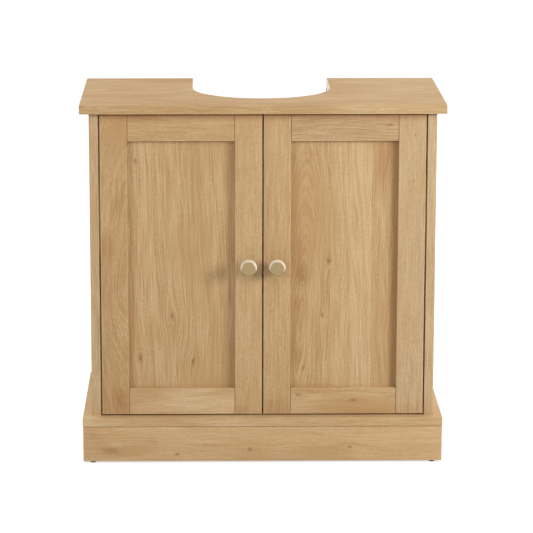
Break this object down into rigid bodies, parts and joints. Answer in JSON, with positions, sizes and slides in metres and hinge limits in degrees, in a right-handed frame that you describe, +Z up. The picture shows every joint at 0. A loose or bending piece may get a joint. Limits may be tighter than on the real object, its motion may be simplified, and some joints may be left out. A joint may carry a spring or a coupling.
{
  "type": "sink base cabinet",
  "caption": "Free-standing under-basin cabinet with inset framed doors on concealed hinges, an open back and a U-shaped cut-out that goes round a basin's pedestal.",
  "frame": {"origin": "on the floor, under the middle of the whole outline, knobs included", "axes": "+X to the right seen from the front, +Y from the doors to the back, +Z up"},
  "size_m": [0.6, 0.31, 0.605],
  "materials": {
    "oak_laminate": "matt oak-effect laminate with fine straight grain",
    "pale_edging": "pale off-white edge band",
    "champagne_brass": "satin champagne brass with a polished rim",
    "nickel_plated_steel": "nickel plated",
    "zinc_plated_screws": "zinc plated",
    "zinc_fittings": "plain die-cast zinc",
    "beech_dowel": "bare beech",
    "softwood_block": "bare planed softwood",
    "soft_pads": "translucent soft pads",
    "grey_glide": "dark grey moulded plastic"
  },
  "bodies": {
    "carcase": {"base_panel": "oak_laminate", "cam_bolts": "zinc_fittings", "cam_locks": "zinc_fittings", "carcase_dowels": "beech_dowel", "centre_post": "oak_laminate", "door_bumpers": "soft_pads", "glide_nails": "zinc_plated_screws", "glides": "grey_glide", "left_back_panel": "oak_laminate", "left_hinge_arm_screws": "zinc_plated_screws", "left_hinge_plate_screws": "zinc_plated_screws", "left_lower_hinge_arm": "nickel_plated_steel", "left_lower_hinge_plate": "nickel_plated_steel", "left_plinth_side": "oak_laminate", "left_side_panel": "oak_laminate", "left_upper_hinge_arm": "nickel_plated_steel", "left_upper_hinge_plate": "nickel_plated_steel", "plinth_corner_blocks": "softwood_block", "plinth_dowels": "beech_dowel", "plinth_front": "oak_laminate", "plinth_screws": "zinc_plated_screws", "right_back_panel": "oak_laminate", "right_hinge_arm_screws": "zinc_plated_screws", "right_hinge_plate_screws": "zinc_plated_screws", "right_lower_hinge_arm": "nickel_plated_steel", "right_lower_hinge_plate": "nickel_plated_steel", "right_plinth_side": "oak_laminate", "right_side_panel": "oak_laminate", "right_upper_hinge_arm": "nickel_plated_steel", "right_upper_hinge_plate": "nickel_plated_steel", "shelf": "oak_laminate", "shelf_supports": "zinc_fittings", "top_cutout_edging": "pale_edging", "top_panel": "oak_laminate"},
    "left_door": {"left_door_bottom_rail": "oak_laminate", "left_door_hinge_stile": "oak_laminate", "left_door_lock_stile": "oak_laminate", "left_door_panel": "oak_laminate", "left_door_top_rail": "oak_laminate", "left_hinge_cup_screws": "zinc_plated_screws", "left_knob": "champagne_brass", "left_knob_screw": "zinc_plated_screws", "left_lower_hinge_cup": "nickel_plated_steel", "left_lower_hinge_pin": "nickel_plated_steel", "left_upper_hinge_cup": "nickel_plated_steel", "left_upper_hinge_pin": "nickel_plated_steel"},
    "right_door": {"right_door_bottom_rail": "oak_laminate", "right_door_hinge_stile": "oak_laminate", "right_door_lock_stile": "oak_laminate", "right_door_panel": "oak_laminate", "right_door_top_rail": "oak_laminate", "right_hinge_cup_screws": "zinc_plated_screws", "right_knob": "champagne_brass", "right_knob_screw": "zinc_plated_screws", "right_lower_hinge_cup": "nickel_plated_steel", "right_lower_hinge_pin": "nickel_plated_steel", "right_upper_hinge_cup": "nickel_plated_steel", "right_upper_hinge_pin": "nickel_plated_steel"}
  },
  "joints": [
    {"name": "left_door_hinge", "type": "hinge", "parent": "carcase", "child": "left_door", "pos_m": [-0.2525, -0.12158, 0.334], "axis": [0, 0, -1], "range_deg": [0, 95]},
    {"name": "right_door_hinge", "type": "hinge", "parent": "carcase", "child": "right_door", "pos_m": [0.2525, -0.12158, 0.334], "axis": [0, 0, 1], "range_deg": [0, 95]}
  ]
}
